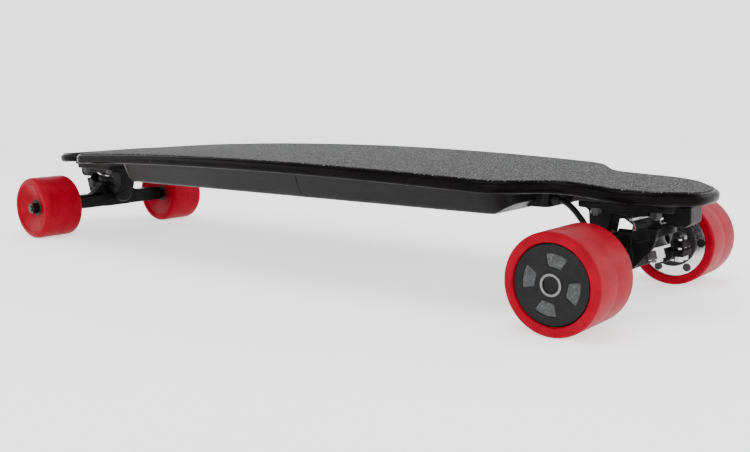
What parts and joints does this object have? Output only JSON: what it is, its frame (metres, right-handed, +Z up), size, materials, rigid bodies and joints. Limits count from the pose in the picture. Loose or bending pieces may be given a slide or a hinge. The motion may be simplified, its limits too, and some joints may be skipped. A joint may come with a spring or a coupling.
{
  "type": "electric skateboard",
  "caption": "Electric longboard: cambered cut-out deck with grip tape, underslung battery and controller cases, two steering trucks and red wheels, the rear pair with hub motors.",
  "frame": {"origin": "on the ground, midway between the trucks, at the middle of the board's width", "axes": "+X forward along the deck, to the end without motors; +Y to the rider's left; +Z up"},
  "size_m": [0.916, 0.299, 0.1214],
  "materials": {
    "deck_lacquer": "gloss",
    "grip": "matt",
    "black_steel": "satin",
    "zinc_steel": "satin",
    "pad_rubber": "matt",
    "truck_black": "satin",
    "bushing_urethane": "satin",
    "cup_urethane": "satin",
    "case_plastic": "satin",
    "panel_plastic": "satin",
    "cell_wrap": "satin",
    "motor_aluminium": "brushed",
    "board": "satin",
    "lead_rubber": "satin",
    "bearing_steel": "satin",
    "stator_steel": "satin",
    "wheel_urethane": "gloss",
    "button_metal": "satin",
    "motor_black": "satin",
    "magnet_steel": "satin",
    "window_plastic": "frosted"
  },
  "bodies": {
    "deck": {"deck": "deck_lacquer", "grip_tape": "grip", "truck_bolts": "black_steel", "truck_nuts": "black_steel", "riser_pads": "pad_rubber", "front_baseplate": "truck_black", "rear_baseplate": "truck_black", "kingpins": "zinc_steel", "kingpin_nuts": "zinc_steel", "cup_washers": "zinc_steel", "front_bushings": "bushing_urethane", "rear_bushings": "bushing_urethane", "pivot_cups": "cup_urethane", "battery_case": "case_plastic", "controller_case": "case_plastic", "case_bridge": "case_plastic", "case_screws": "black_steel", "port_panel": "panel_plastic", "charge_socket": "panel_plastic", "power_switch": "panel_plastic", "battery_cells": "cell_wrap", "heat_spreader": "motor_aluminium", "circuit_boards": "board", "battery_leads": "lead_rubber", "left_motor_lead": "lead_rubber", "right_motor_lead": "lead_rubber", "lead_grommets": "pad_rubber"},
    "front_hanger": {"front_hanger": "truck_black", "front_axle": "zinc_steel", "front_axle_nuts": "black_steel", "front_bearing_inners": "bearing_steel"},
    "rear_hanger": {"rear_hanger": "truck_black", "axle_clamp_bolts": "zinc_steel", "motor_shafts": "bearing_steel", "stators": "stator_steel", "rear_bearing_inners": "bearing_steel"},
    "front_left_wheel": {"front_left_wheel": "wheel_urethane", "front_left_bearings": "bearing_steel"},
    "front_right_wheel": {"front_right_wheel": "wheel_urethane", "front_right_bearings": "bearing_steel"},
    "rear_left_wheel": {"rear_left_tyre": "wheel_urethane", "rear_left_rotor_can": "motor_black", "rear_left_magnets": "magnet_steel", "rear_left_end_plate": "motor_aluminium", "rear_left_end_plate_screws": "black_steel", "rear_left_motor_cover": "motor_black", "rear_left_cover_windows": "window_plastic", "rear_left_bearings": "bearing_steel", "rear_left_dust_seal": "pad_rubber"},
    "rear_right_wheel": {"rear_right_tyre": "wheel_urethane", "rear_right_rotor_can": "motor_black", "rear_right_magnets": "magnet_steel", "rear_right_end_plate": "motor_aluminium", "rear_right_end_plate_screws": "black_steel", "rear_right_motor_cover": "motor_black", "rear_right_cover_windows": "window_plastic", "rear_right_bearings": "bearing_steel", "rear_right_dust_seal": "pad_rubber"},
    "power_button": {"power_button": "button_metal"},
    "charge_port_cap": {"charge_port_cap": "pad_rubber"}
  },
  "joints": [
    {"name": "front_steer", "type": "hinge", "parent": "deck", "child": "front_hanger", "pos_m": [0.404, 0, 0.063], "axis": [0.9563, 0, 0.2924], "range_deg": [-14, 14], "stiffness_Nm_per_rad": 60, "deforming": ["front_bushings"]},
    {"name": "rear_steer", "type": "hinge", "parent": "deck", "child": "rear_hanger", "pos_m": [-0.404, 0, 0.0645], "axis": [-0.9563, 0, 0.2924], "range_deg": [-14, 14], "stiffness_Nm_per_rad": 60, "deforming": ["rear_bushings", "left_motor_lead", "right_motor_lead"]},
    {"name": "front_left_spin", "type": "hinge", "parent": "front_hanger", "child": "front_left_wheel", "pos_m": [0.388, 0.101, 0.04], "axis": [0, 1, 0], "continuous": true},
    {"name": "front_right_spin", "type": "hinge", "parent": "front_hanger", "child": "front_right_wheel", "pos_m": [0.388, -0.101, 0.04], "axis": [0, 1, 0], "continuous": true},
    {"name": "rear_left_spin", "type": "hinge", "parent": "rear_hanger", "child": "rear_left_wheel", "pos_m": [-0.388, 0.1195, 0.0415], "axis": [0, 1, 0], "continuous": true},
    {"name": "rear_right_spin", "type": "hinge", "parent": "rear_hanger", "child": "rear_right_wheel", "pos_m": [-0.388, -0.1195, 0.0415], "axis": [0, 1, 0], "continuous": true},
    {"name": "button_press", "type": "slide", "parent": "deck", "child": "power_button", "axis": [0, 1, 0], "range_m": [0, 0.0012], "stiffness_N_per_m": 600},
    {"name": "port_cap_swing", "type": "hinge", "parent": "deck", "child": "charge_port_cap", "pos_m": [-0.214, -0.092, 0.0874], "axis": [1, 0, 0], "range_deg": [0, 110]}
  ]
}
